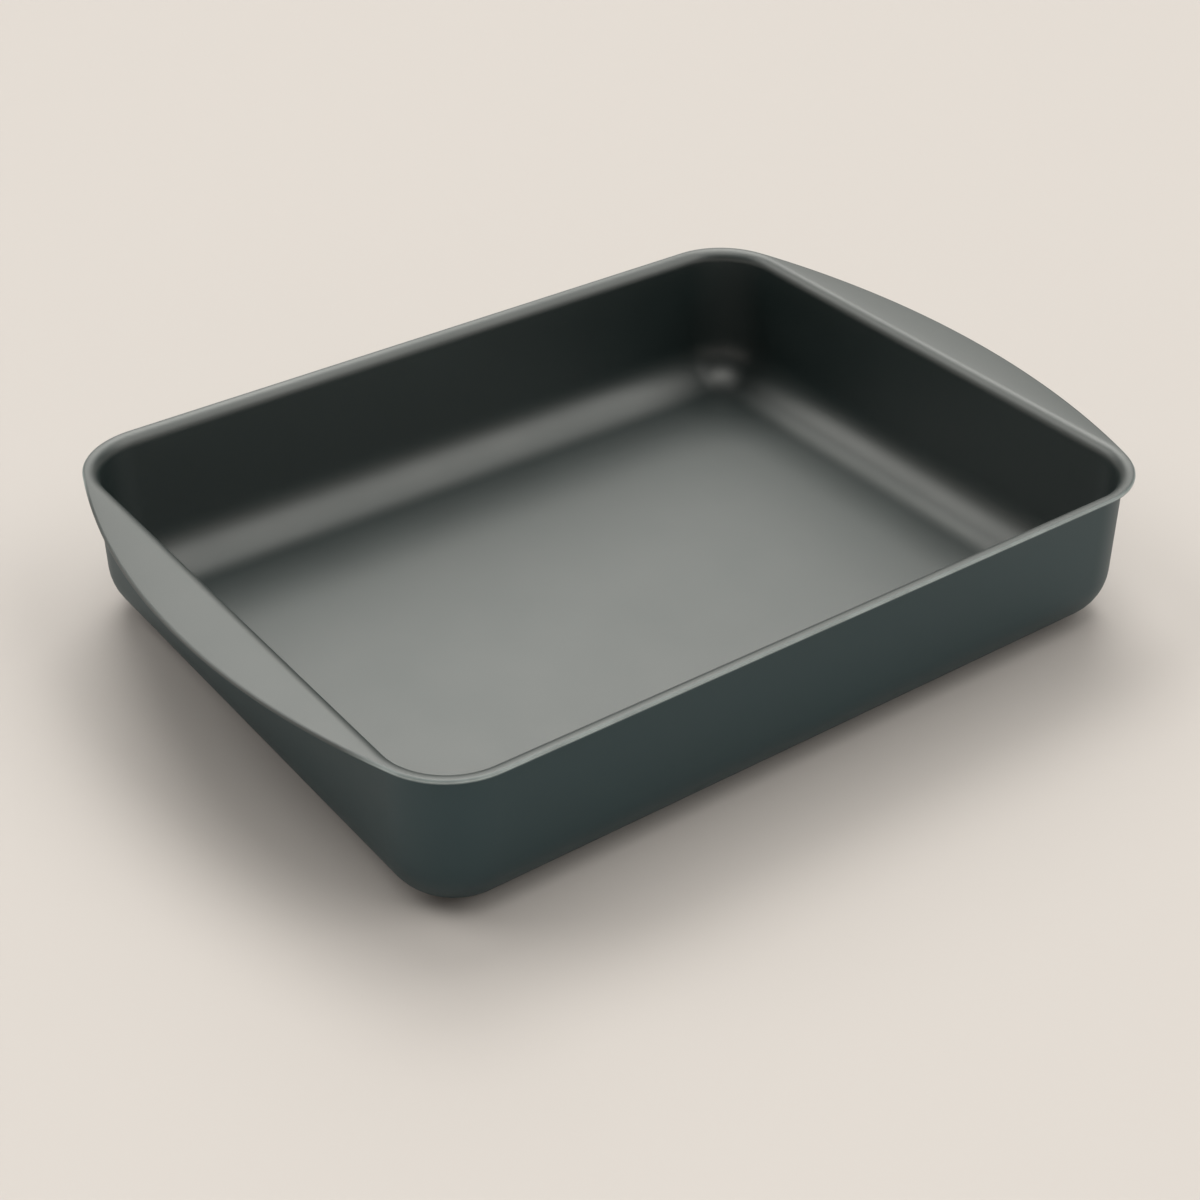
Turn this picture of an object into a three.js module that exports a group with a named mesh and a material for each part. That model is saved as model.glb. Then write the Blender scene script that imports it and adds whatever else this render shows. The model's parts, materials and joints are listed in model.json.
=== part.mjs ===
// Roasting pan: one pressed aluminium sheet whose flared rim widens into an ear handle at each end.
// A non-stick lining covers the inside, and a dark coat covers the outside and the flat base.
// Millimetres, +Z up. The origin is the middle of the base, and +X runs from ear to ear.

import * as THREE from 'three';
import { mergeVertices } from 'three/addons/utils/BufferGeometryUtils.js';

// Driving dimensions
const RIM_LENGTH = 380; // over the rim, between the roots of the ears
const RIM_WIDTH = 298; // over the rim on the long sides
const HEIGHT = 72.5; // table to the top of the rim
const SHEET = 2; // aluminium sheet
const LINING = 0.1; // non-stick lining on the inside
const COAT = 0.1; // dark coat on the outside
const FLOOR_FILLET = 22; // inner radius between floor and wall
const WALL_DRAFT = 0.5; // degrees that the walls lean outward
const WALL_CORNER = 28; // inner radius of the wall in plan, under the rim
const RIM_BEND = 5.5; // radius over which the wall turns out into the rim, on its upper face
const RIM_FLAT = 0.4; // level land between the bend and the rounded edge
const EAR_REACH = 20; // middle of an ear past the end of the rim
const EAR_DROOP = 0.8; // fall of an ear's edge below the rim, at its middle

// Facets
const CORNER_STEPS = 7;
const ROOT_STEPS = 2;
const EAR_STEPS = 10;
const FILLET_STEPS = 6;
const BEND_STEPS = 5;
const FLANGE_STEPS = 2;
const EDGE_STEPS = 2;

const COATING = { color: 0x262e2e, roughness: 0.4, metalness: 0.25 };
const ALUMINIUM = { color: 0xb6b9bb, roughness: 0.35, metalness: 1 };

// The section is drawn along the middle of the sheet: floor, fillet, wall, bend, rim, rounded edge.
// s runs outward from the foot of the rim bend, and z up from the table.
const QUARTER_TURN = Math.PI / 2;
const HALF_SHEET = SHEET / 2;
const LINED = HALF_SHEET + LINING; // middle of the sheet to the lined face
const COATED = HALF_SHEET + COAT; // middle of the sheet to the coated face
const EDGE = Math.max(LINED, COATED); // middle of the rounded edge to the outermost line of the rim
const draft = THREE.MathUtils.degToRad(WALL_DRAFT);
const floorLevel = COATED;
const rimLevel = HEIGHT - LINED;
const filletRadius = FLOOR_FILLET + LINED;
const bendRadius = RIM_BEND - LINED;
const bendTop = bendRadius * Math.cos(draft);
const bendCentre = { s: bendTop, z: rimLevel - bendRadius };
const wallTop = bendCentre.z + bendRadius * Math.sin(draft);
const wallFoot = floorLevel + filletRadius * (1 - Math.sin(draft));
const filletCentre = {
  s: -(wallTop - wallFoot) * Math.tan(draft) - filletRadius * Math.cos(draft),
  z: floorLevel + filletRadius,
};

// In plan the wall is a rounded rectangle. The rim goes round the same corner centres, further out by the
// bend, the land and the edge.
const wallRadius = WALL_CORNER + LINED;
const rimRadius = wallRadius + bendTop + RIM_FLAT + EDGE;
const corner = new THREE.Vector2(RIM_LENGTH / 2 - rimRadius, RIM_WIDTH / 2 - rimRadius);

// An end arc over each ear meets the rim's corners without a break.
const earCentreGap = (EAR_REACH ** 2 + corner.y ** 2) / (2 * EAR_REACH);
const earRadius = rimRadius + earCentreGap;
const earCentre = new THREE.Vector2(RIM_LENGTH / 2 + EAR_REACH - earRadius, 0);
const earHalfAngle = Math.atan2(corner.y, earCentreGap - EAR_REACH);

const lerp = THREE.MathUtils.lerp;

function direction(angle) {
  return new THREE.Vector2(Math.cos(angle), Math.sin(angle));
}

/** One place round the pan: a point of the wall with the point of the rim's edge that it flares out to. */
function station(wall, wallNormal, rimCentre, rimRadius, rimAngle) {
  const edgeNormal = direction(rimAngle);
  const edge = rimCentre.clone().addScaledVector(edgeNormal, rimRadius - EDGE);
  const pastRim = edge.x + EDGE - RIM_LENGTH / 2;
  const droop = EAR_DROOP * Math.max(pastRim / EAR_REACH, 0);
  return { wall, wallNormal, edge, edgeNormal, droop };
}

/** Stations round one corner, as far as the root of the ear; side is -1 at -Y and 1 at +Y. */
function cornerStations(side) {
  const centre = new THREE.Vector2(corner.x, side * corner.y);
  const round = [];
  for (let i = 0; i <= CORNER_STEPS; i += 1) {
    const along = side < 0 ? 1 - i / CORNER_STEPS : i / CORNER_STEPS;
    const angle = side * lerp(earHalfAngle, QUARTER_TURN, along);
    const normal = direction(angle);
    const wall = centre.clone().addScaledVector(normal, wallRadius);
    round.push(station(wall, normal, centre, rimRadius, angle));
  }
  return round;
}

/** A station behind the ear; y is where it stands along the end wall, and turn is the wall's heading there. */
function earStation(y, turn) {
  const normal = direction(turn);
  const wall = new THREE.Vector2(corner.x + wallRadius * normal.x, y);
  const across = y / (corner.y + wallRadius * Math.sin(earHalfAngle));
  return station(wall, normal, earCentre, earRadius, across * earHalfAngle);
}

/** Stations at one root of the ear, from the corner to the straight of the end wall. */
function rootStations(side) {
  const round = [];
  for (let i = 1; i <= ROOT_STEPS; i += 1) {
    const turn = lerp(earHalfAngle, 0, i / ROOT_STEPS);
    round.push(earStation(side * (corner.y + wallRadius * Math.sin(turn)), side * turn));
  }
  return round;
}

/** Stations along the straight of the end wall, between the roots of the ear. */
function earStations() {
  const along = [];
  for (let i = 1; i < EAR_STEPS; i += 1) {
    along.push(earStation(lerp(-corner.y, corner.y, i / EAR_STEPS), 0));
  }
  return along;
}

/** The same station at the other end of the pan, half a turn away. */
function opposite({ wall, wallNormal, edge, edgeNormal, droop }) {
  return {
    wall: wall.clone().negate(),
    wallNormal: wallNormal.clone().negate(),
    edge: edge.clone().negate(),
    edgeNormal: edgeNormal.clone().negate(),
    droop,
  };
}

const nearHalf = [
  ...cornerStations(-1),
  ...rootStations(-1),
  ...earStations(),
  ...rootStations(1).reverse(),
  ...cornerStations(1),
];
const stations = [...nearHalf, ...nearHalf.map(opposite)];

/** Points of one face at a station, from the floor to the outermost line of the rim.
 *  offset is the face's distance from the middle of the sheet, positive on the inside. */
function faceLine({ wall, wallNormal, edge, edgeNormal, droop }, offset) {
  const line = [];
  const add = (plan, z) => line.push(new THREE.Vector3(plan.x, plan.y, z));
  const addOnArc = (centre, radius, angle) => {
    const s = centre.s + radius * Math.cos(angle);
    add(wall.clone().addScaledVector(wallNormal, s), centre.z + radius * Math.sin(angle));
  };
  for (let i = 0; i <= FILLET_STEPS; i += 1) {
    addOnArc(filletCentre, filletRadius - offset, lerp(-QUARTER_TURN, -draft, i / FILLET_STEPS));
  }
  for (let i = 0; i <= BEND_STEPS; i += 1) {
    addOnArc(bendCentre, bendRadius + offset, lerp(Math.PI - draft, QUARTER_TURN, i / BEND_STEPS));
  }
  const rimStart = wall.clone().addScaledVector(wallNormal, bendTop);
  for (let i = 1; i <= FLANGE_STEPS; i += 1) {
    const out = i / FLANGE_STEPS;
    add(rimStart.clone().lerp(edge, out), rimLevel + offset - droop * out ** 2);
  }
  for (let i = 1; i <= EDGE_STEPS; i += 1) {
    const angle = lerp(QUARTER_TURN, 0, i / EDGE_STEPS);
    const plan = edge.clone().addScaledVector(edgeNormal, Math.abs(offset) * Math.cos(angle));
    add(plan, rimLevel - droop + offset * Math.sin(angle));
  }
  return line;
}

/** One face of the pan as rings of points round it, from the edge of the floor to the edge of the rim. */
function faceRings(offset) {
  const lines = stations.map((place) => faceLine(place, offset));
  return lines[0].map((_, row) => lines.map((line) => line[row]));
}

/** A closed surface made of bands between rings. A face looks up and inward unless it is turned over. */
class Surface {
  constructor() {
    this.positions = [];
  }

  triangle(a, b, c, turned) {
    const corners = turned ? [a, c, b] : [a, b, c];
    corners.forEach((corner) => this.positions.push(corner.x, corner.y, corner.z));
  }

  band(inner, outer, turned = false) {
    inner.forEach((point, k) => {
      const next = (k + 1) % inner.length;
      this.triangle(point, outer[k], outer[next], turned);
      this.triangle(point, outer[next], inner[next], turned);
    });
  }

  face(rings, turned = false) {
    for (let row = 1; row < rings.length; row += 1) {
      this.band(rings[row - 1], rings[row], turned);
    }
  }

  flat(ring, turned = false) {
    const middle = new THREE.Vector3(0, 0, ring[0].z);
    ring.forEach((point, k) => this.triangle(middle, point, ring[(k + 1) % ring.length], turned));
  }

  mesh(name, finish) {
    const soup = new THREE.BufferGeometry();
    soup.setAttribute('position', new THREE.Float32BufferAttribute(this.positions, 3));
    const geometry = mergeVertices(soup);
    geometry.computeVertexNormals();
    const mesh = new THREE.Mesh(geometry, new THREE.MeshStandardMaterial(finish));
    mesh.name = name;
    return mesh;
  }
}

const linedFace = faceRings(LINED);
const upperFace = faceRings(HALF_SHEET);
const underFace = faceRings(-HALF_SHEET);
const coatedFace = faceRings(-COATED);

/** The pressed sheet: floor, walls, rim and ears in one piece, with a rounded edge all round. */
function panBody() {
  const surface = new Surface();
  surface.flat(upperFace[0]);
  surface.face(upperFace);
  surface.face(underFace, true);
  surface.flat(underFace[0], true);
  return surface.mesh('pan_body', ALUMINIUM);
}

/** The lining: it lies on the sheet's upper face and ends at the outermost line of the rim. */
function nonstickLining() {
  const surface = new Surface();
  surface.flat(linedFace[0]);
  surface.face(linedFace);
  surface.band(upperFace.at(-1), linedFace.at(-1), true);
  surface.face(upperFace, true);
  surface.flat(upperFace[0], true);
  return surface.mesh('nonstick_lining', COATING);
}

/** The coat under the rim and ears, down the walls and round the bottom edge, as far as the flat base. */
function outerCoat() {
  const surface = new Surface();
  surface.face(underFace);
  surface.band(underFace.at(-1), coatedFace.at(-1));
  surface.face(coatedFace, true);
  surface.band(coatedFace[0], underFace[0]);
  return surface.mesh('outer_coat', COATING);
}

/** The coat on the flat base, which the pan stands on. */
function baseCoat() {
  const surface = new Surface();
  surface.flat(underFace[0]);
  surface.band(coatedFace[0], underFace[0], true);
  surface.flat(coatedFace[0], true);
  return surface.mesh('base_coat', COATING);
}

const roastingPan = new THREE.Group();
roastingPan.name = 'roasting_pan';
roastingPan.add(panBody(), nonstickLining(), outerCoat(), baseCoat());

export default roastingPan;
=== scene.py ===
"""A coated roasting pan on a plain studio floor.

The pan is one pressed aluminium sheet, with a non-stick lining inside and a dark coat outside. All
of them follow the same section, which is carried round the pan and widens into an ear handle at each
end. Lengths are metres, +Z is up, and +X runs from ear to ear.
"""

import json
import math
from dataclasses import dataclass

import bmesh
import bpy
from bpy.props import FloatProperty, FloatVectorProperty, PointerProperty
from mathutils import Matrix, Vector


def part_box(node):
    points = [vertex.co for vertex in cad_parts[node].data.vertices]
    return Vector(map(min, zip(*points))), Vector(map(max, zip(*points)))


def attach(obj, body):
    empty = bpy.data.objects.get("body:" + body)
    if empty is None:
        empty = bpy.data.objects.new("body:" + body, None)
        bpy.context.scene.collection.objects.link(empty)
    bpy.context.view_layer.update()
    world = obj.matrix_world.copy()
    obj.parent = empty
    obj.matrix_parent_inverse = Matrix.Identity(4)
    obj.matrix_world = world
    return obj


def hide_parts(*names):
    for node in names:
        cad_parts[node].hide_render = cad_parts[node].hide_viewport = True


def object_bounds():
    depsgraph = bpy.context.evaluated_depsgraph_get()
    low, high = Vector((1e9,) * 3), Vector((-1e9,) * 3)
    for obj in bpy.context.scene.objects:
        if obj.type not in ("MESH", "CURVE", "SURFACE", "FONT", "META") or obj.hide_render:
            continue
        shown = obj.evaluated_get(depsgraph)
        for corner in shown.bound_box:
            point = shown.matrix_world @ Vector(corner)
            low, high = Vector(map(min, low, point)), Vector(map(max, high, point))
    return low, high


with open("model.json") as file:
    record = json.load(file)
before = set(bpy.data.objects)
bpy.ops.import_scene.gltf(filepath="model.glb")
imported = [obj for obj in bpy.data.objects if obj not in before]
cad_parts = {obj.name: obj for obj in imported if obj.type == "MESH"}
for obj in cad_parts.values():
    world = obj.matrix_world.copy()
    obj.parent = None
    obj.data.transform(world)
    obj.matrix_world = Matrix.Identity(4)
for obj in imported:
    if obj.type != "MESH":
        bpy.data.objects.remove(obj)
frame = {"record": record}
CAD_LOW, CAD_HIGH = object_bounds()

bl_info = {
    "name": "Coated Roasting Pan",
    "version": (1, 0, 0),
    "blender": (4, 5, 0),
    "location": "3D View > Sidebar > Roasting Pan",
    "description": "Builds a coated roasting pan with two ear handles, and a softly lit stage for it",
    "category": "Add Mesh",
}

BODY = "root"
QUARTER_TURN = math.pi / 2

# Sizes that the frame gives
MOUNTS = {mount["name"]: mount for mount in frame["record"]["mounts"]}
PAN_LENGTH, PAN_WIDTH, PAN_HEIGHT = CAD_HIGH - CAD_LOW
BASE_LOW, BASE_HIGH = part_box("base_coat")
COAT = BASE_HIGH.z - BASE_LOW.z
LINING = CAD_HIGH.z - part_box("pan_body")[1].z
SHEET = MOUNTS["cooking_floor"]["pos_m"][2] - COAT - LINING

# Facets
CORNER_STEPS = 16
ROOT_STEPS = 5
EAR_STEPS = 32
SIDE_STEPS = 12
FILLET_STEPS = 12
WALL_STEPS = 5
BEND_STEPS = 12
FLANGE_STEPS = 6
EDGE_STEPS = 4
FLOOR_LAND = 0.002  # a flat ring that keeps the shading of the fillet off the floor
WELD = 1e-6  # points closer than this become one
SHARP = math.radians(40)  # an edge that turns more than this isn't shaded smooth

# The coats are thinned by rubbing along the rim's edge, where a pale painted highlight lies too, but
# not on the ears
RIM_EDGE = "rim_edge"  # vertex attribute, up to 1 on the outermost line of the rim
RUBBED_HIGHLIGHT_FADE = 0.25  # share of the ear's droop over which the thinned coat and its painted highlight fade out
LINING_WEAR_AND_HIGHLIGHT = 0.9
COAT_WEAR_AND_HIGHLIGHT = 0.5

# Textures, in waves to a metre
LINING_GRAIN = 1600
COAT_GRAIN = 1400
SHEET_GRAIN = 900
COAT_MOTTLE = 22
SHEET_MOTTLE = 60
# patches along the pale rim line: rubbing and painted highlight
RUBBED_HIGHLIGHT_PATCH = 90

# The values that most of a noise lies between, and what they stand for
MOTTLE_SPAN = (0.3, 0.7)
FULL_SPAN = (0, 1)
PATCH_SPAN = (0.35, 0.65)
PATCH_WEAR_AND_HIGHLIGHT = (0.7, 1)  # least and most share of the pale rim colour, partly rubbing and partly painted highlight

# Gloss
LINING_IOR = 2.0
COAT_IOR = 1.75
PLAIN_SHEEN = (1, 1, 1)
SHEET_ROUGHNESS = (0.28, 0.42)
DULL_SHARE = 0.8  # of the aluminium's colour, where it is dullest


class PanSizes(bpy.types.PropertyGroup):
    """Sizes of the pan."""

    length: FloatProperty(
        name="Length", description="Over both ears", default=PAN_LENGTH, unit="LENGTH"
    )
    width: FloatProperty(
        name="Width", description="Over the rim", default=PAN_WIDTH, unit="LENGTH"
    )
    height: FloatProperty(
        name="Height", description="Table to the top of the rim", default=PAN_HEIGHT, unit="LENGTH"
    )
    sheet: FloatProperty(
        name="Sheet", description="Thickness of the sheet", default=SHEET, unit="LENGTH"
    )
    lining: FloatProperty(
        name="Lining", description="Thickness of the lining", default=LINING, unit="LENGTH"
    )
    coat: FloatProperty(
        name="Coat", description="Thickness of the outer coat", default=COAT, unit="LENGTH"
    )
    floor_fillet: FloatProperty(
        name="Floor Fillet",
        description="Inner radius between floor and wall",
        default=0.022,
        unit="LENGTH",
    )
    wall_draft: FloatProperty(
        name="Wall Draft",
        description="Outward lean of the walls",
        default=math.radians(0.5),
        unit="ROTATION",
    )
    wall_corner: FloatProperty(
        name="Wall Corner",
        description="Inner radius of the wall in plan",
        default=0.028,
        unit="LENGTH",
    )
    rim_bend: FloatProperty(
        name="Rim Bend",
        description="Upper radius of the bend into the rim",
        default=0.0055,
        unit="LENGTH",
    )
    rim_flat: FloatProperty(
        name="Rim Flat",
        description="Land between the bend and the edge",
        default=0.0004,
        unit="LENGTH",
    )
    ear_reach: FloatProperty(
        name="Ear Reach",
        description="Middle of an ear past the end of the rim",
        default=0.020,
        unit="LENGTH",
    )
    ear_droop: FloatProperty(
        name="Ear Droop",
        description="Fall of an ear's edge at its middle",
        default=0.0008,
        unit="LENGTH",
    )


class PanFinish(bpy.types.PropertyGroup):
    """Colours and gloss of the pan."""

    coat_dark: FloatVectorProperty(
        name="Coat, Dark",
        description="Deepest tone of the coat",
        default=(0.0003, 0.0100, 0.0105),
        subtype="COLOR",
    )
    coat_light: FloatVectorProperty(
        name="Coat, Light",
        description="Lightest tone of the coat",
        default=(0.0004, 0.0115, 0.0120),
        subtype="COLOR",
    )
    # pale rim colour: coat thinned by rubbing, and a painted highlight on the lip
    coat_worn_and_highlight: FloatVectorProperty(
        name="Coat, Worn and Highlight",
        description="Coat thinned at the rim, with a painted highlight",
        default=(0.45, 0.53, 0.535),
        subtype="COLOR",
    )
    outer_sheen: FloatVectorProperty(
        name="Outer Sheen",
        description="Tint of the sheen outside",
        default=(0.66, 0.90, 1.0),
        subtype="COLOR",
    )
    aluminium: FloatVectorProperty(
        name="Aluminium",
        description="Bare rolled sheet",
        default=(0.71, 0.73, 0.73),
        subtype="COLOR",
    )
    satin: FloatProperty(
        name="Satin",
        description="Roughness of the coat",
        default=0.46,
        min=0,
        max=1,
        subtype="FACTOR",
    )
    satin_range: FloatProperty(
        name="Satin Range",
        description="How much the coat's roughness varies",
        default=0.02,
        min=0,
        max=1,
        subtype="FACTOR",
    )
    grain_depth: FloatProperty(
        name="Grain Depth",
        description="Relief of the sprayed grain",
        default=0.000012,
        unit="LENGTH",
    )


class StageSettings(bpy.types.PropertyGroup):
    """Floor, ambient light and camera."""

    floor_colour: FloatVectorProperty(
        name="Floor",
        description="Colour of the studio floor",
        default=(0.585, 0.548, 0.532),
        subtype="COLOR",
    )
    ambient: FloatProperty(
        name="Ambient", description="Brightness of the room", default=0.02, min=0
    )
    view_azimuth: FloatProperty(
        name="View Azimuth",
        description="Turn of the camera round the pan",
        default=math.radians(-36.05),
        unit="ROTATION",
    )
    view_elevation: FloatProperty(
        name="View Elevation",
        description="Height of the camera over the horizon",
        default=math.radians(34.17),
        unit="ROTATION",
    )
    view_distance: FloatProperty(
        name="View Distance",
        description="Camera to the point it looks at",
        default=0.9761,
        unit="LENGTH",
    )
    view_target: FloatVectorProperty(
        name="View Target",
        description="Point in the middle of the picture",
        default=(-0.01355, -0.01242, 0.01346),
        subtype="XYZ",
    )
    lens: FloatProperty(
        name="Lens", description="Focal length of the camera", default=66.40, unit="CAMERA"
    )


def lerp(start, end, share):
    return start + (end - start) * share


def heading(angle):
    """A unit vector in plan."""
    return Vector((math.cos(angle), math.sin(angle)))


def bearing(azimuth, elevation):
    """A unit vector from the pan towards something seen from it; azimuth 0 is the -Y side."""
    level = math.cos(elevation)
    return Vector((math.sin(azimuth) * level, -math.cos(azimuth) * level, math.sin(elevation)))


def arc(centre, radius, start, end, steps):
    """Points along an arc, both ends included."""
    angles = [lerp(start, end, step / steps) for step in range(steps + 1)]
    return [centre + heading(angle) * radius for angle in angles]


@dataclass
class Station:
    """One place round the pan: a point of the wall, and the point of the rim that it flares out to."""

    wall: Vector
    wall_normal: Vector
    edge: Vector
    edge_normal: Vector
    droop: float

    def opposite(self):
        """The same station at the other end of the pan, half a turn away."""
        return Station(-self.wall, -self.wall_normal, -self.edge, -self.edge_normal, self.droop)

    def beside(self, other, share):
        """A station on the straight between two that face the same way."""
        wall = self.wall.lerp(other.wall, share)
        edge = self.edge.lerp(other.edge, share)
        droop = lerp(self.droop, other.droop, share)
        return Station(wall, self.wall_normal, edge, self.edge_normal, droop)


@dataclass
class Ring:
    """A line of points round the pan, and at each how much the coat is thinned by rubbing and carries
    a painted highlight.
    """

    points: list
    rubbed_and_highlit: list


class PanForm:
    """The pan's section and plan, worked out from its sizes.

    The section runs along the middle of the sheet: floor, fillet, wall, bend, rim, rounded edge. Its
    x runs outward from the foot of the rim bend, and its y up from the table.
    """

    def __init__(self, sizes):
        self.sizes = sizes
        self.draft = sizes.wall_draft
        self.sheet_face = sizes.sheet / 2
        self.lined_face = self.sheet_face + sizes.lining
        self.coated_face = self.sheet_face + sizes.coat
        self.edge_radius = max(self.lined_face, self.coated_face)
        self.floor_level = self.coated_face
        self.rim_level = sizes.height - self.lined_face
        self.shape_section()
        self.shape_plan()
        self.stations = self.stations_round()

    def shape_section(self):
        self.fillet_radius = self.sizes.floor_fillet + self.lined_face
        self.bend_radius = self.sizes.rim_bend - self.lined_face
        self.bend_top = self.bend_radius * math.cos(self.draft)
        self.bend_centre = Vector((self.bend_top, self.rim_level - self.bend_radius))
        wall_top = self.bend_centre.y + self.bend_radius * math.sin(self.draft)
        wall_foot = self.floor_level + self.fillet_radius * (1 - math.sin(self.draft))
        lean = (wall_top - wall_foot) * math.tan(self.draft)
        set_in = lean + self.fillet_radius * math.cos(self.draft)
        self.fillet_centre = Vector((-set_in, self.floor_level + self.fillet_radius))

    def shape_plan(self):
        """The rim goes round the wall's corner centres, and the ear's arc meets it without a break."""
        sizes = self.sizes
        self.rim_end = sizes.length / 2 - sizes.ear_reach
        self.wall_radius = sizes.wall_corner + self.lined_face
        self.rim_radius = self.wall_radius + self.bend_top + sizes.rim_flat + self.edge_radius
        self.corner = Vector((self.rim_end, sizes.width / 2)) - Vector((self.rim_radius,) * 2)
        centre_gap = (sizes.ear_reach**2 + self.corner.y**2) / (2 * sizes.ear_reach)
        self.ear_radius = self.rim_radius + centre_gap
        self.ear_centre = Vector((sizes.length / 2 - self.ear_radius, 0))
        self.ear_half_angle = math.atan2(self.corner.y, centre_gap - sizes.ear_reach)

    def station(self, wall, wall_normal, rim_centre, rim_radius, rim_angle):
        edge_normal = heading(rim_angle)
        edge = rim_centre + edge_normal * (rim_radius - self.edge_radius)
        past_rim = edge.x + self.edge_radius - self.rim_end
        droop = self.sizes.ear_droop * max(past_rim / self.sizes.ear_reach, 0)
        return Station(wall, wall_normal, edge, edge_normal, droop)

    def corner_stations(self, side):
        """Stations round one corner of the +X end, as far as the root of the ear.

        side is -1 at -Y and 1 at +Y.
        """
        centre = Vector((self.corner.x, side * self.corner.y))
        stations = []
        for step in range(CORNER_STEPS + 1):
            share = step / CORNER_STEPS
            along = 1 - share if side < 0 else share
            angle = side * lerp(self.ear_half_angle, QUARTER_TURN, along)
            wall = centre + heading(angle) * self.wall_radius
            stations.append(self.station(wall, heading(angle), centre, self.rim_radius, angle))
        return stations

    def ear_station(self, y, turn):
        """A station behind the ear.

        y is its place along the end wall, and turn the wall's heading there.
        """
        wall = Vector((self.corner.x + self.wall_radius * math.cos(turn), y))
        across = y / (self.corner.y + self.wall_radius * math.sin(self.ear_half_angle))
        rim_angle = across * self.ear_half_angle
        return self.station(wall, heading(turn), self.ear_centre, self.ear_radius, rim_angle)

    def root_stations(self, side):
        """Stations at one root of the ear, from the corner to the straight of the end wall."""
        stations = []
        for step in range(1, ROOT_STEPS + 1):
            turn = lerp(self.ear_half_angle, 0, step / ROOT_STEPS)
            y = self.corner.y + self.wall_radius * math.sin(turn)
            stations.append(self.ear_station(side * y, side * turn))
        return stations

    def ear_stations(self):
        """Stations along the straight of the +X end wall, between the roots of the ear."""
        shares = [step / EAR_STEPS for step in range(1, EAR_STEPS)]
        places = [lerp(-self.corner.y, self.corner.y, share) for share in shares]
        return [self.ear_station(y, 0) for y in places]

    def stations_round(self):
        half = [
            *self.corner_stations(-1),
            *self.root_stations(-1),
            *self.ear_stations(),
            *reversed(self.root_stations(1)),
            *self.corner_stations(1),
        ]
        start, end = half[-1], half[0].opposite()
        half += [start.beside(end, step / SIDE_STEPS) for step in range(1, SIDE_STEPS)]
        return half + [station.opposite() for station in half]

    def section_points(self, offset):
        """The section from the floor to the top of the bend, as points (outward, up)."""
        fillet_radius = self.fillet_radius - offset
        bend_radius = self.bend_radius + offset
        floor = self.fillet_centre - Vector((FLOOR_LAND, fillet_radius))
        fillet = arc(self.fillet_centre, fillet_radius, -QUARTER_TURN, -self.draft, FILLET_STEPS)
        bend = arc(self.bend_centre, bend_radius, math.pi - self.draft, QUARTER_TURN, BEND_STEPS)
        wall = [fillet[-1].lerp(bend[0], step / WALL_STEPS) for step in range(1, WALL_STEPS)]
        return [floor, *fillet, *wall, *bend]

    def face_line(self, place, section, offset):
        """Points of one face at a station, from the floor to the outermost line of the rim."""
        line = []
        for point in section:
            plan = place.wall + place.wall_normal * point.x
            line.append(Vector((*plan, point.y)))
        rim_start = place.wall + place.wall_normal * self.bend_top
        for step in range(1, FLANGE_STEPS + 1):
            out = 1 - (1 - step / FLANGE_STEPS) ** 2  # closer together towards the edge
            plan = rim_start.lerp(place.edge, out)
            line.append(Vector((*plan, self.rim_level + offset - place.droop * out**2)))
        for step in range(1, EDGE_STEPS + 1):
            turn = heading(lerp(QUARTER_TURN, 0, step / EDGE_STEPS))
            plan = place.edge + place.edge_normal * abs(offset) * turn.x
            line.append(Vector((*plan, self.rim_level - place.droop + offset * turn.y)))
        return line

    def face_rings(self, offset):
        """One face as rings from the floor to the rim.

        offset is the face's distance from the middle of the sheet, positive on the inside.
        """
        section = self.section_points(offset)
        lines = [self.face_line(place, section, offset) for place in self.stations]
        rows = list(zip(*lines))
        edge_row = len(rows) - 1 - EDGE_STEPS
        beside_ears = [self.beside_ear(place) for place in self.stations]
        rings = []
        for index, row in enumerate(rows):
            # the rubbing and painted highlight lie on the rounded edge, and fade out on the ears
            on_edge = max((index - edge_row) / EDGE_STEPS, 0)
            rings.append(Ring(list(row), [on_edge * share for share in beside_ears]))
        return rings

    def beside_ear(self, place):
        """1 along the sides and corners of the rim, falling to 0 on the ears."""
        return max(1 - place.droop / (self.sizes.ear_droop * RUBBED_HIGHLIGHT_FADE), 0)


class Shell:
    """A closed body built up from rings. A face looks up and inward unless it is turned over."""

    def __init__(self):
        self.body = bmesh.new()
        # how much of the rubbing and painted highlight each vertex takes
        self.rubbed_and_highlit_layer = self.body.verts.layers.float.new(RIM_EDGE)

    def vertices(self, ring):
        made = []
        for point, rubbed_and_highlit in zip(ring.points, ring.rubbed_and_highlit):
            vertex = self.body.verts.new(point)
            vertex[self.rubbed_and_highlit_layer] = rubbed_and_highlit
            made.append(vertex)
        return made

    def add_face(self, corners, turned):
        self.body.faces.new(reversed(corners) if turned else corners)

    def band(self, inner, outer, turned=False):
        inside, outside = self.vertices(inner), self.vertices(outer)
        for here in range(len(inside)):
            there = (here + 1) % len(inside)
            corners = [inside[here], outside[here], outside[there], inside[there]]
            self.add_face(corners, turned)

    def face(self, rings, turned=False):
        for inner, outer in zip(rings, rings[1:]):
            self.band(inner, outer, turned)

    def flat(self, ring, turned=False):
        self.add_face(self.vertices(ring), turned)

    def piece(self, name, material):
        """Welds the body, and puts it in the scene as one smooth piece."""
        bmesh.ops.remove_doubles(self.body, verts=self.body.verts, dist=WELD)
        mesh = bpy.data.meshes.new(name)
        self.body.to_mesh(mesh)
        self.body.free()
        mesh.shade_smooth()
        mesh.set_sharp_from_angle(angle=SHARP)
        mesh.materials.append(material)
        piece = bpy.data.objects.new(name, mesh)
        bpy.context.scene.collection.objects.link(piece)
        return piece


def stand_for(piece, node):
    """The piece takes the place of a node of the frame."""
    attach(piece, BODY)
    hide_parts(node)


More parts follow.
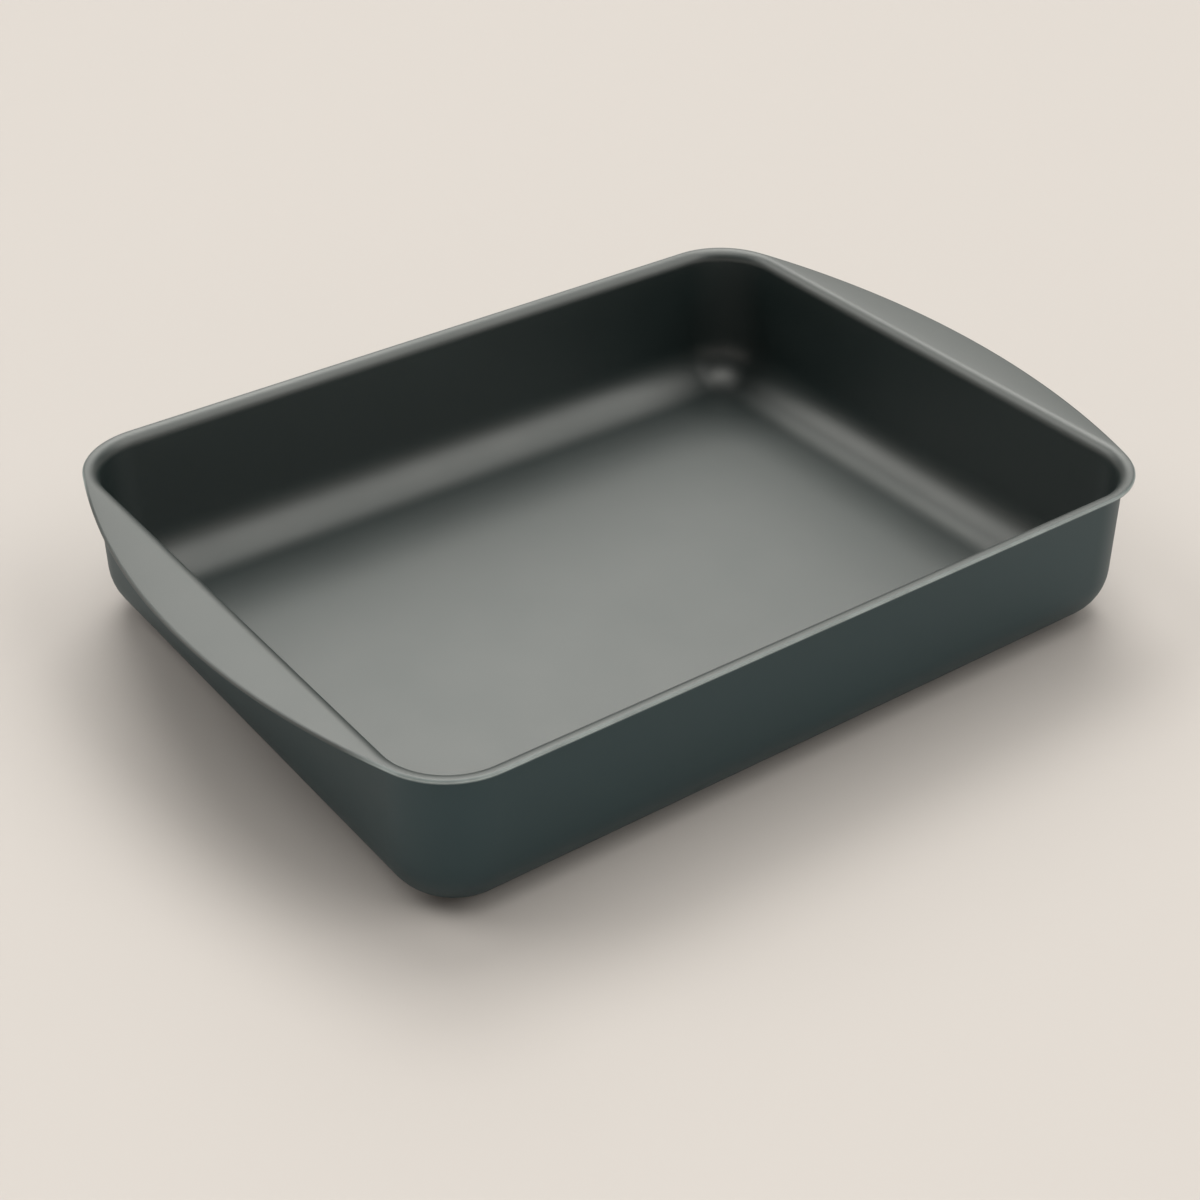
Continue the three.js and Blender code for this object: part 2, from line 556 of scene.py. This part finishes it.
def set_input(tree, socket, value):
    """Links the socket from another, or sets its value."""
    if isinstance(value, bpy.types.NodeSocket):
        tree.links.new(value, socket)
    else:
        socket.default_value = value


def place_node(tree, kind, inputs=None, **settings):
    """Adds a node; an input is a value, or a socket to link from."""
    node = tree.nodes.new(kind)
    for name, value in settings.items():
        setattr(node, name, value)
    for name, value in (inputs or {}).items():
        set_input(tree, node.inputs[name], value)
    return node


def use_group(tree, group, numbers):
    """Adds a node group with its numbers set."""
    return place_node(tree, "ShaderNodeGroup", numbers, node_tree=group)


def mix_colours(tree, factor, first, second):
    """Blends two colours by a factor, and gives the socket with the result."""
    mix = place_node(tree, "ShaderNodeMix", data_type="RGBA")
    set_input(tree, mix.inputs[0], factor)
    colour_inputs = [socket for socket in mix.inputs if socket.type == "RGBA"]
    for value, socket in zip((first, second), colour_inputs):
        set_input(tree, socket, value)
    return next(socket for socket in mix.outputs if socket.type == "RGBA")


def map_range(tree, value, from_range, to_range):
    inputs = {
        "Value": value,
        "From Min": from_range[0],
        "From Max": from_range[1],
        "To Min": to_range[0],
        "To Max": to_range[1],
    }
    return place_node(tree, "ShaderNodeMapRange", inputs).outputs["Result"]


def multiply(tree, first, second):
    product = place_node(tree, "ShaderNodeMath", operation="MULTIPLY")
    set_input(tree, product.inputs[0], first)
    set_input(tree, product.inputs[1], second)
    return product.outputs[0]


def noise(tree, scale, detail, roughness):
    """Adds a noise that stays with the piece, and gives the socket with its result."""
    where = place_node(tree, "ShaderNodeTexCoord").outputs["Object"]
    inputs = {"Vector": where, "Scale": scale, "Detail": detail, "Roughness": roughness}
    return place_node(tree, "ShaderNodeTexNoise", inputs).outputs["Fac"]


def new_group(name, inputs, outputs):
    """An empty shader node group with number sockets, and its input and output nodes."""
    group = bpy.data.node_groups.new(name, "ShaderNodeTree")
    kind = "NodeSocketFloat"
    for socket_name, default in inputs.items():
        socket = group.interface.new_socket(socket_name, in_out="INPUT", socket_type=kind)
        socket.default_value = default
    for socket_name in outputs:
        group.interface.new_socket(socket_name, in_out="OUTPUT", socket_type=kind)
    return group, group.nodes.new("NodeGroupInput"), group.nodes.new("NodeGroupOutput")


def sprayed_grain():
    """Fine orange peel of a sprayed coat, and the slow mottle of its thickness."""
    name = "Sprayed grain"
    if name in bpy.data.node_groups:
        return bpy.data.node_groups[name]
    numbers = {"Grain": COAT_GRAIN, "Mottle": COAT_MOTTLE}
    group, entry, result = new_group(name, numbers, ["Height", "Mottle"])
    peel = noise(group, entry.outputs["Grain"], detail=2.0, roughness=0.6)
    cloud = noise(group, entry.outputs["Mottle"], detail=5.0, roughness=0.55)
    mottle = map_range(group, cloud, MOTTLE_SPAN, FULL_SPAN)
    group.links.new(peel, result.inputs["Height"])
    group.links.new(mottle, result.inputs["Mottle"])
    return group


def rim_wear_and_highlight():
    """Where the coat is thinned by rubbing along the rounded edge of the rim, with a painted highlight
    there.
    """
    name = "Rim wear"
    if name in bpy.data.node_groups:
        return bpy.data.node_groups[name]
    numbers = {"Amount": COAT_WEAR_AND_HIGHLIGHT, "Patch": RUBBED_HIGHLIGHT_PATCH}
    group, entry, result = new_group(name, numbers, ["Wear"])
    edge = place_node(group, "ShaderNodeAttribute", attribute_name=RIM_EDGE).outputs["Fac"]
    patches = noise(group, entry.outputs["Patch"], detail=4.0, roughness=0.6)
    rubbed_and_highlit = map_range(group, patches, PATCH_SPAN, PATCH_WEAR_AND_HIGHLIGHT)
    wear_and_highlight = multiply(group, multiply(group, edge, rubbed_and_highlit), entry.outputs["Amount"])
    group.links.new(wear_and_highlight, result.inputs["Wear"])
    return group


def new_material(name):
    """A material with a Principled BSDF alone, and that shader."""
    material = bpy.data.materials.new(name)
    material.use_nodes = True
    return material, material.node_tree, material.node_tree.nodes["Principled BSDF"]


def opaque(colour):
    """The colour with a full alpha, as a shader's socket takes it."""
    return (*colour, 1)


def relieve(tree, shader, height, depth):
    """Gives the shader a relief of that depth."""
    bump = place_node(
        tree, "ShaderNodeBump", {"Height": height, "Strength": 1.0, "Distance": depth}
    )
    tree.links.new(bump.outputs["Normal"], shader.inputs["Normal"])


def satin_coat(name, finish, grain, wear_and_highlight, ior, sheen):
    """The green-black satin coat, mottled a little, thinned by rubbing at the rim and given a painted
    highlight there.
    """
    material, tree, shader = new_material(name)
    spray = use_group(tree, sprayed_grain(), {"Grain": grain, "Mottle": COAT_MOTTLE})
    worn_and_highlit = use_group(tree, rim_wear_and_highlight(), {"Amount": wear_and_highlight, "Patch": RUBBED_HIGHLIGHT_PATCH}).outputs["Wear"]
    mottle = spray.outputs["Mottle"]
    fresh = mix_colours(tree, mottle, opaque(finish.coat_dark), opaque(finish.coat_light))
    # pale colour at the rim: rubbing and painted highlight
    colour = mix_colours(tree, worn_and_highlit, fresh, opaque(finish.coat_worn_and_highlight))
    satin_ends = (finish.satin - finish.satin_range, finish.satin + finish.satin_range)
    roughness = map_range(tree, mottle, FULL_SPAN, satin_ends)
    tree.links.new(colour, shader.inputs["Base Color"])
    tree.links.new(roughness, shader.inputs["Roughness"])
    relieve(tree, shader, spray.outputs["Height"], finish.grain_depth)
    shader.inputs["IOR"].default_value = ior
    shader.inputs["Specular Tint"].default_value = opaque(sheen)
    return material


def lining_coat(finish):
    return satin_coat(
        "Satin lining", finish, LINING_GRAIN, LINING_WEAR_AND_HIGHLIGHT, LINING_IOR, PLAIN_SHEEN
    )


def outside_coat(name, finish):
    return satin_coat(name, finish, COAT_GRAIN, COAT_WEAR_AND_HIGHLIGHT, COAT_IOR, finish.outer_sheen)


def rolled_aluminium(finish):
    """The bare sheet under the coats."""
    material, tree, shader = new_material("Rolled aluminium")
    spray = use_group(tree, sprayed_grain(), {"Grain": SHEET_GRAIN, "Mottle": SHEET_MOTTLE})
    mottle = spray.outputs["Mottle"]
    dull = [channel * DULL_SHARE for channel in finish.aluminium]
    colour = mix_colours(tree, mottle, opaque(dull), opaque(finish.aluminium))
    roughness = map_range(tree, mottle, FULL_SPAN, SHEET_ROUGHNESS)
    tree.links.new(colour, shader.inputs["Base Color"])
    tree.links.new(roughness, shader.inputs["Roughness"])
    relieve(tree, shader, spray.outputs["Height"], finish.grain_depth)
    shader.inputs["Metallic"].default_value = 1.0
    return material


class ROASTER_OT_pressed_sheet(bpy.types.Operator):
    """Add the pressed aluminium sheet: floor, walls, rim and ears in one piece"""

    bl_idname = "roaster.pressed_sheet"
    bl_label = "Pressed Sheet"
    bl_options = {"REGISTER", "UNDO"}

    def execute(self, context):
        form = PanForm(context.scene.roaster_sizes)
        upper = form.face_rings(form.sheet_face)
        under = form.face_rings(-form.sheet_face)
        shell = Shell()
        shell.flat(upper[0])
        shell.face(upper)
        shell.face(under, turned=True)
        shell.flat(under[0], turned=True)
        piece = shell.piece("pressed_sheet", rolled_aluminium(context.scene.roaster_finish))
        stand_for(piece, "pan_body")
        return {"FINISHED"}


class ROASTER_OT_lining(bpy.types.Operator):
    """Add the non-stick lining, from the floor to the outermost line of the rim"""

    bl_idname = "roaster.lining"
    bl_label = "Non-Stick Lining"
    bl_options = {"REGISTER", "UNDO"}

    def execute(self, context):
        form = PanForm(context.scene.roaster_sizes)
        face = form.face_rings(form.lined_face)
        back = form.face_rings(form.sheet_face)
        shell = Shell()
        shell.flat(face[0])
        shell.face(face)
        shell.band(back[-1], face[-1], turned=True)
        shell.face(back, turned=True)
        shell.flat(back[0], turned=True)
        piece = shell.piece("satin_lining", lining_coat(context.scene.roaster_finish))
        stand_for(piece, "nonstick_lining")
        return {"FINISHED"}


class ROASTER_OT_outer_coat(bpy.types.Operator):
    """Add the coat under the rim and ears, down the walls and round the bottom edge"""

    bl_idname = "roaster.outer_coat"
    bl_label = "Outer Coat"
    bl_options = {"REGISTER", "UNDO"}

    def execute(self, context):
        form = PanForm(context.scene.roaster_sizes)
        face = form.face_rings(-form.coated_face)[1:]
        back = form.face_rings(-form.sheet_face)[1:]
        shell = Shell()
        shell.face(back)
        shell.band(back[-1], face[-1])
        shell.face(face, turned=True)
        shell.band(face[0], back[0])
        coat = outside_coat("Satin outer coat", context.scene.roaster_finish)
        piece = shell.piece("outer_satin_coat", coat)
        stand_for(piece, "outer_coat")
        return {"FINISHED"}


class ROASTER_OT_base_coat(bpy.types.Operator):
    """Add the coat under the flat base"""

    bl_idname = "roaster.base_coat"
    bl_label = "Base Coat"
    bl_options = {"REGISTER", "UNDO"}

    def execute(self, context):
        form = PanForm(context.scene.roaster_sizes)
        face = form.face_rings(-form.coated_face)[:2]
        back = form.face_rings(-form.sheet_face)[:2]
        shell = Shell()
        shell.flat(back[0])
        shell.face(back)
        shell.band(face[-1], back[-1], turned=True)
        shell.face(face, turned=True)
        shell.flat(face[0], turned=True)
        coat = outside_coat("Satin base coat", context.scene.roaster_finish)
        piece = shell.piece("base_satin_coat", coat)
        stand_for(piece, "base_coat")
        return {"FINISHED"}


LIGHT_COLOUR = (1.0, 0.99, 0.93)


@dataclass
class SoftLight:
    """A round soft light far off.

    Angles are degrees; width is how wide it looks from the pan, and glow how bright its face is.
    """

    name: str
    azimuth: float
    elevation: float
    width: float
    glow: float

    def light_up(self, scene):
        lamp = bpy.data.lights.new(self.name, "SUN")
        lamp.angle = math.radians(self.width)
        lamp.energy = self.glow * math.pi * math.sin(lamp.angle / 2) ** 2
        lamp.color = LIGHT_COLOUR
        holder = bpy.data.objects.new(self.name, lamp)
        towards = bearing(math.radians(self.azimuth), math.radians(self.elevation))
        holder.rotation_mode = "QUATERNION"
        holder.rotation_quaternion = towards.to_track_quat("Z", "Y")
        scene.collection.objects.link(holder)


SOFT_LIGHTS = [
    SoftLight("high_back_softbox", azimuth=150, elevation=60, width=38, glow=4.2),
    SoftLight("low_back_softbox", azimuth=144, elevation=36, width=46, glow=1.6),
    SoftLight("left_softbox", azimuth=218, elevation=42, width=36, glow=2.9),
    SoftLight("right_softbox", azimuth=38, elevation=42, width=38, glow=2.4),
    SoftLight("high_right_softbox", azimuth=80, elevation=62, width=36, glow=1.9),
    SoftLight("overhead_softbox", azimuth=310, elevation=78, width=34, glow=2.4),
]

# The studio floor is a wide disc that sweeps up all round into a sloping backdrop
FLOOR_RADIUS = 5.0
SWEEP_RADIUS = 6.0
SWEEP_SLOPE = math.radians(40)
SWEEP_STEPS = 12
BACKDROP_RISE = 5.0  # along the slope
FLOOR_SIDES = 96
FLOOR_ROUGHNESS = 0.9
FLOOR_SPECULAR = 0.1


class ROASTER_OT_stage(bpy.types.Operator):
    """Add the studio floor, the soft lights and the camera"""

    bl_idname = "roaster.stage"
    bl_label = "Stage"
    bl_options = {"REGISTER", "UNDO"}

    def execute(self, context):
        settings = context.scene.roaster_stage
        self.lay_floor(context.scene, settings)
        self.light_room(context.scene, settings)
        for light in SOFT_LIGHTS:
            light.light_up(context.scene)
        self.aim_camera(context.scene, settings)
        context.scene.view_settings.view_transform = "Standard"
        return {"FINISHED"}

    @staticmethod
    def floor_profile():
        """The floor's section as points (outward, up), from the edge of the flat disc."""
        centre = Vector((FLOOR_RADIUS, SWEEP_RADIUS))
        foot = -QUARTER_TURN
        profile = arc(centre, SWEEP_RADIUS, foot, foot + SWEEP_SLOPE, SWEEP_STEPS)
        profile.append(profile[-1] + heading(SWEEP_SLOPE) * BACKDROP_RISE)
        return profile

    @classmethod
    def lay_floor(cls, scene, settings):
        body = bmesh.new()
        spokes = [heading(2 * math.pi * side / FLOOR_SIDES) for side in range(FLOOR_SIDES)]
        rings = []
        for point in cls.floor_profile():
            rings.append([body.verts.new((*(spoke * point.x), point.y)) for spoke in spokes])
        body.faces.new(rings[0])
        for inner, outer in zip(rings, rings[1:]):
            for here in range(FLOOR_SIDES):
                there = (here + 1) % FLOOR_SIDES
                body.faces.new((inner[here], outer[here], outer[there], inner[there]))
        mesh = bpy.data.meshes.new("studio_floor")
        body.to_mesh(mesh)
        body.free()
        mesh.shade_smooth()
        material, _, shader = new_material("Studio floor")
        shader.inputs["Base Color"].default_value = opaque(settings.floor_colour)
        shader.inputs["Roughness"].default_value = FLOOR_ROUGHNESS
        shader.inputs["Specular IOR Level"].default_value = FLOOR_SPECULAR
        mesh.materials.append(material)
        floor = bpy.data.objects.new("studio_floor", mesh)
        scene.collection.objects.link(floor)

    @staticmethod
    def light_room(scene, settings):
        world = bpy.data.worlds.new("Studio room")
        world.use_nodes = True
        background = world.node_tree.nodes["Background"]
        background.inputs["Color"].default_value = (1, 1, 1, 1)
        background.inputs["Strength"].default_value = settings.ambient
        scene.world = world

    @staticmethod
    def aim_camera(scene, settings):
        lens = bpy.data.cameras.new("studio_camera")
        lens.lens = settings.lens
        camera = bpy.data.objects.new("studio_camera", lens)
        back = bearing(settings.view_azimuth, settings.view_elevation)
        camera.location = Vector(settings.view_target) + back * settings.view_distance
        camera.rotation_mode = "QUATERNION"
        camera.rotation_quaternion = back.to_track_quat("Z", "Y")
        scene.collection.objects.link(camera)
        scene.camera = camera


OPERATORS = (
    ROASTER_OT_pressed_sheet,
    ROASTER_OT_lining,
    ROASTER_OT_outer_coat,
    ROASTER_OT_base_coat,
    ROASTER_OT_stage,
)


class ROASTER_PT_panel(bpy.types.Panel):
    """Sizes and finish of the roasting pan, and the steps that build it"""

    bl_idname = "ROASTER_PT_panel"
    bl_label = "Roasting Pan"
    bl_space_type = "VIEW_3D"
    bl_region_type = "UI"
    bl_category = "Roasting Pan"

    def draw(self, context):
        scene = context.scene
        for settings in (scene.roaster_sizes, scene.roaster_finish, scene.roaster_stage):
            box = self.layout.box()
            for name in settings.__annotations__:
                box.prop(settings, name)
        for operator in OPERATORS:
            self.layout.operator(operator.bl_idname)


SETTINGS = {
    "roaster_sizes": PanSizes,
    "roaster_finish": PanFinish,
    "roaster_stage": StageSettings,
}
CLASSES = (*SETTINGS.values(), *OPERATORS, ROASTER_PT_panel)


def register():
    for cls in CLASSES:
        bpy.utils.register_class(cls)
    for name, settings in SETTINGS.items():
        setattr(bpy.types.Scene, name, PointerProperty(type=settings))


def unregister():
    for name in SETTINGS:
        delattr(bpy.types.Scene, name)
    for cls in reversed(CLASSES):
        bpy.utils.unregister_class(cls)


def main():
    register()
    bpy.ops.roaster.pressed_sheet()
    bpy.ops.roaster.lining()
    bpy.ops.roaster.outer_coat()
    bpy.ops.roaster.base_coat()
    bpy.ops.roaster.stage()


if __name__ == "__main__":
    main()
